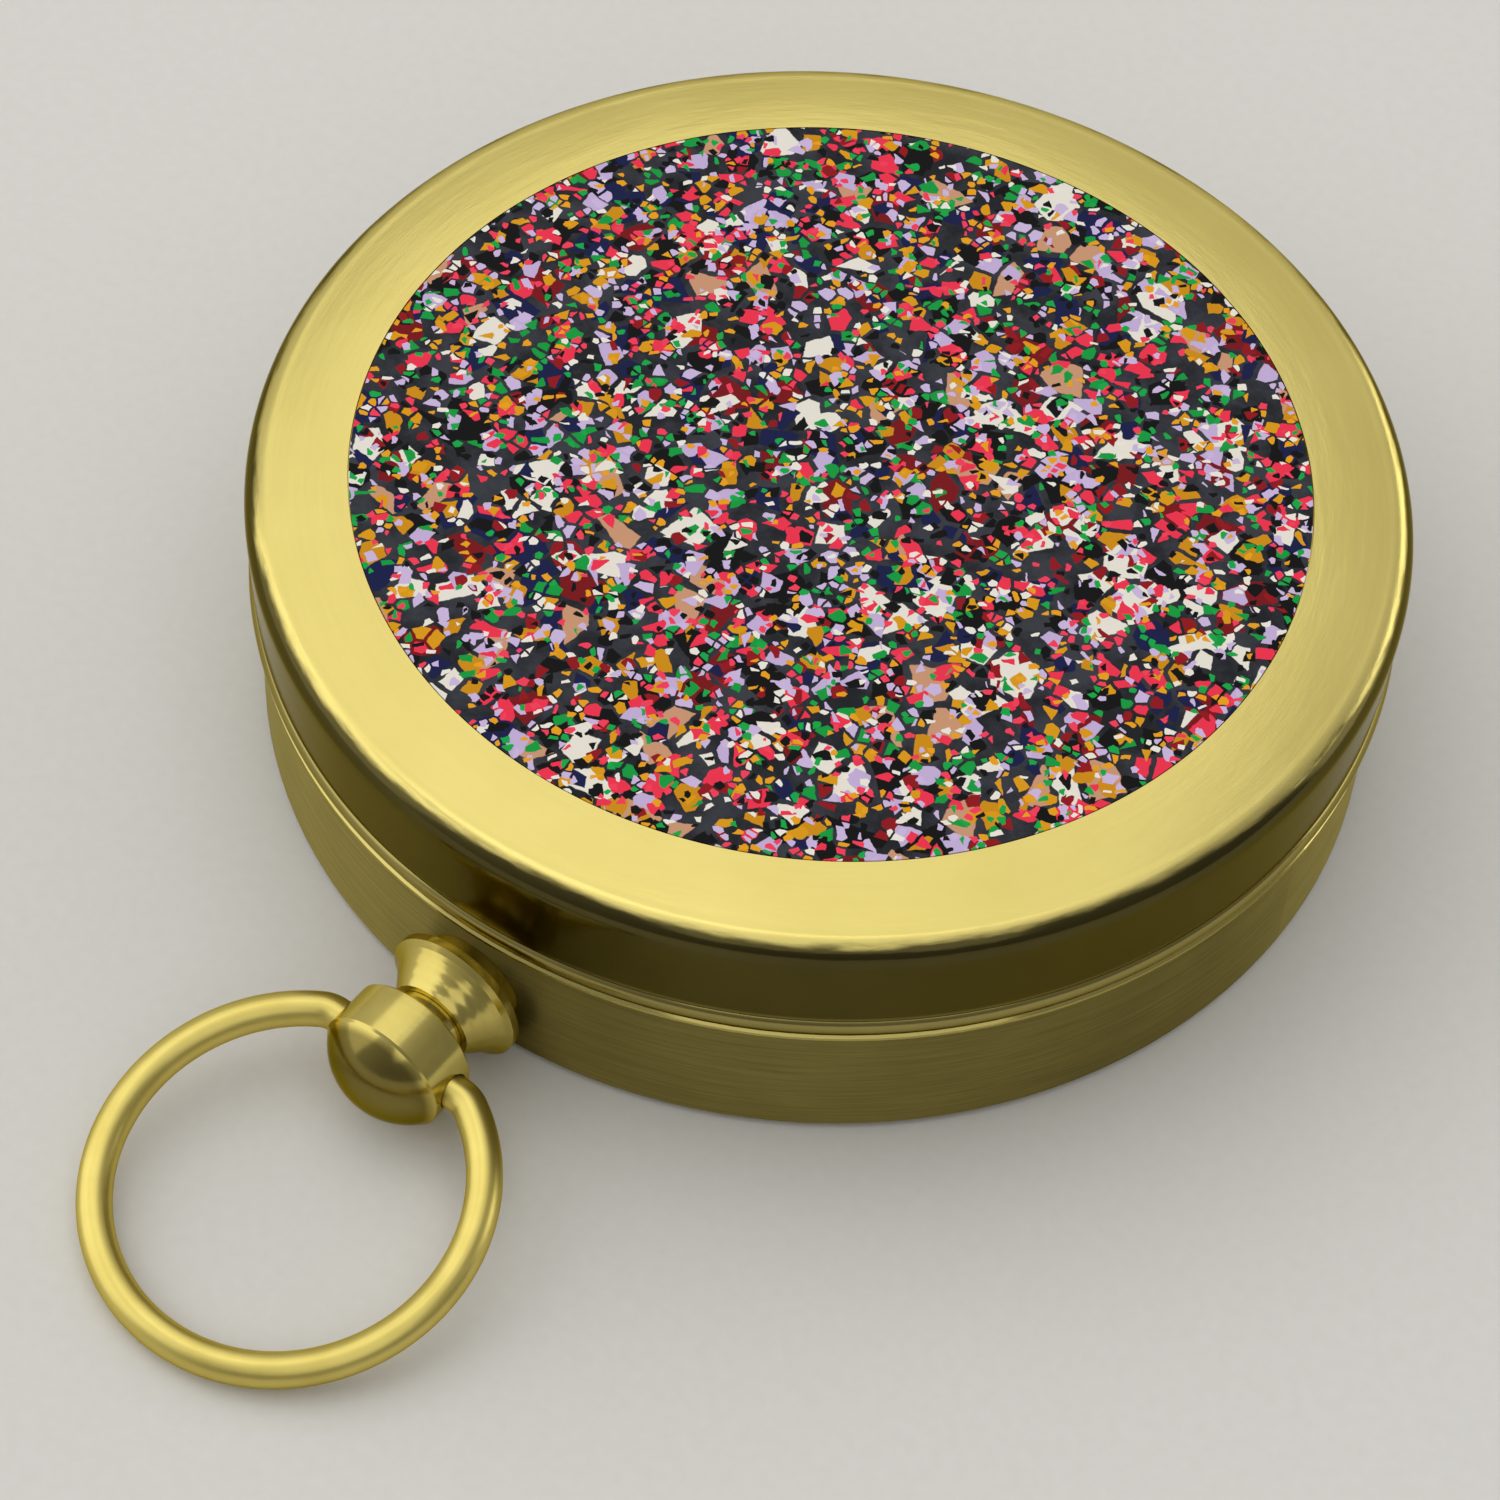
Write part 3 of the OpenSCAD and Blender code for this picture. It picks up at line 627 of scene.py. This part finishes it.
def printed_rings(name, radii, width, material):
    """Thin printed circles: a flat four cornered outline carried round each circle and closed both ways.

    Point = (r cos a, r sin a, z), with (r, z) the outline's corners: inner and outer top, outer and
    inner foot.
    """
    a = np.linspace(0, 2 * math.pi, 180, endpoint=False)[:, None]
    r = radii[:, None, None] + np.array([-1, 1, 1, -1]) * width / 2
    z = card_top + INK * np.array([1, 1, 0, 0]) + 0 * r * a
    points = np.stack([r * np.cos(a), r * np.sin(a), z], -1)
    here = np.arange(z.size).reshape(z.shape)
    onward = np.roll(here, -1, 1)
    faces = np.stack([here, np.roll(here, -1, 2), np.roll(onward, -1, 2), onward], -1).reshape(-1, 4)
    return print_card(name, points.reshape(-1, 3), faces.tolist(), material)


def rose_points(name, first, tip, material):
    """Four points of a compass rose, a quarter turn apart.

    One half of each is inked, and the other has a line round it, 0.12 mm wide.
    """
    hub, shoulder, half_line = 1.75 * MM, 3.1 * MM, 0.06 * MM
    at = math.radians(first) + np.arange(4) * math.pi / 2
    turn = math.pi / 8
    corners = np.tile([hub, shoulder, tip, hub], (4, 1))
    inked = lay_flat(corners, at[:, None] + np.array([-turn, -turn, 0, 0]))[:, ::-1]
    near, bent, far = np.full(4, hub), np.full(4, shoulder), np.full(4, tip)
    a = np.concatenate([lay_flat(near, at + turn), lay_flat(bent, at + turn)])
    b = np.concatenate([lay_flat(bent, at + turn), lay_flat(far, at)])
    along = (b - a) / np.linalg.norm(b - a, axis=1)[:, None]
    square = np.stack([-along[:, 1], along[:, 0], 0 * along[:, 0]], 1) * half_line
    lines = np.stack([a - square, b - square, b + square, a + square], 1)
    return print_outlines(name, np.concatenate([inked, lines]), material)


def printed_words(name, words, radius, size, material):
    """Letters or numbers set round the dial, upright towards its rim.

    Words are (text, degrees from north). Each is laid at its radius and turned by its degrees.
    """
    whole = bmesh.new()
    lift = Matrix.Translation((0, radius, card_top + INK / 2))
    for text, degrees in words:
        curve = bpy.data.curves.new("word", "FONT")
        curve.body, curve.size, curve.resolution_u = text, size, 4
        curve.align_x, curve.align_y = "CENTER", "CENTER"
        curve.extrude = INK / 2
        word = link_new("word", curve)
        bpy.context.view_layer.update()
        mesh = bpy.data.meshes.new_from_object(word)
        mesh.transform(Matrix.Rotation(-math.radians(degrees), 4, "Z") @ lift)
        whole.from_mesh(mesh)
        bpy.data.objects.remove(word)
        bpy.data.curves.remove(curve)
        bpy.data.meshes.remove(mesh)
    bmesh.ops.remove_doubles(whole, verts=whole.verts, dist=0.0005 * MM)
    bmesh.ops.recalc_face_normals(whole, faces=whole.faces)
    mesh = bpy.data.meshes.new(name)
    whole.to_mesh(mesh)
    whole.free()
    return place_piece(name, mesh, material, "case")


quarters = [("N", 0), ("E", 90), ("S", 180), ("W", 270)]
numbers = [(str(degrees), degrees) for degrees in range(0, 360, 30)]
dial_scale()
printed_rings("dial_circle_print", np.array([17.5, 19.5]) * MM, 0.1 * MM, card_ink)
rose_points("rose_cardinal_print", 0, 8.9 * MM, rose_ink)
rose_points("rose_diagonal_print", 45, 6.3 * MM, card_ink)
printed_words("dial_letter_print", quarters, 10.9 * MM, 3.6 * MM, rose_ink)
printed_words("dial_number_print", numbers, 16.4 * MM, 1.9 * MM, card_ink)


# ---------------------------------------------------------------- floor, light and camera

def pale_floor():
    """A flat square sheet, 3 m wide and just under the object, painted a pale warm grey."""
    material, tree, shader = new_material("pale_painted_board")
    fine = noise(tree, own_place(tree), 0.6 * MM, 4.0)
    wire_up(shader, Base_Color=blend(tree, fine, "#DEDCD7", "#D6D4CE"), Roughness=0.7)
    half, gap = 1.5, 0.02 * MM
    corners = [(-half, -half, -gap), (half, -half, -gap), (half, half, -gap), (-half, half, -gap)]
    mesh = bpy.data.meshes.new("floor")
    mesh.from_pydata(corners, [], [(0, 1, 2, 3)])
    mesh.materials.append(material)
    link_new("floor", mesh)


def soft_lamp(name, azimuth, elevation, distance, width, height, radiance):
    """A flat softbox that faces the object. Azimuth 0 is on the pendant's side, 90 on the +X side.

    Its power is radiance * pi * area, so that a mirror shows it at its radiance.
    """
    lamp = bpy.data.lights.new(name, "AREA")
    lamp.shape, lamp.size, lamp.size_y = "RECTANGLE", width, height
    lamp.energy = radiance * math.pi * width * height
    a, e = math.radians(azimuth), math.radians(elevation)
    away = Vector((math.sin(a) * math.cos(e), -math.cos(a) * math.cos(e), math.sin(e)))
    holder = link_new(name, lamp)
    holder.location = away * distance
    holder.rotation_euler = away.to_track_quat("Z", "Y").to_euler()


pale_floor()
soft_lamp("softbox_behind", 238, 64, 0.6, 0.5, 0.45, 0.52)
soft_lamp("overhead", 32, 82, 0.55, 0.5, 0.5, 0.58)
soft_lamp("front_fill", 42, 44, 0.5, 0.45, 0.26, 0.7)
soft_lamp("side_left", -60, 29, 0.5, 0.52, 0.52, 0.86)
soft_lamp("side_right", 150, 15, 0.5, 0.5, 0.24, 1.7)

# Studio room: soft and pale overhead, dimmer towards the horizon, brightest far left and dimmest near right
FAR_LEFT = (-0.94, 0.34, 0)
world = bpy.data.worlds.new("studio")
bpy.context.scene.world = world
world.use_nodes = True
sky = world.node_tree
aim = add(sky, "TexCoord").outputs["Generated"]
height = add(sky, "SeparateXYZ", Vector=aim).outputs["Z"]
leftward = add(sky, "VectorMath", operation="DOT_PRODUCT", s0=aim, s1=FAR_LEFT).outputs["Value"]
strength = times(sky, ramped(sky, height, 0.0, 0.85, 0.6, 0.8), ramped(sky, leftward, -0.6, 0.6, 0.42, 1.0))
wire_up(sky.nodes["Background"], Color=linear("#F6F5F3"), Strength=strength)

# Camera that was fitted to the rims of the case and the lid
lens = bpy.data.cameras.new("camera")
lens.lens, lens.sensor_width, lens.clip_start, lens.clip_end = 108.108, 36.0, 0.005, 10.0
camera = link_new("camera", lens)
camera.location = (0.067103, -0.107262, 0.158342)
camera.rotation_euler = [math.radians(d) for d in (37.4269, -2.499, 36.4898)]
bpy.context.scene.camera = camera
bpy.context.scene.view_settings.view_transform = "Standard"

bpy.context.view_layer.update()
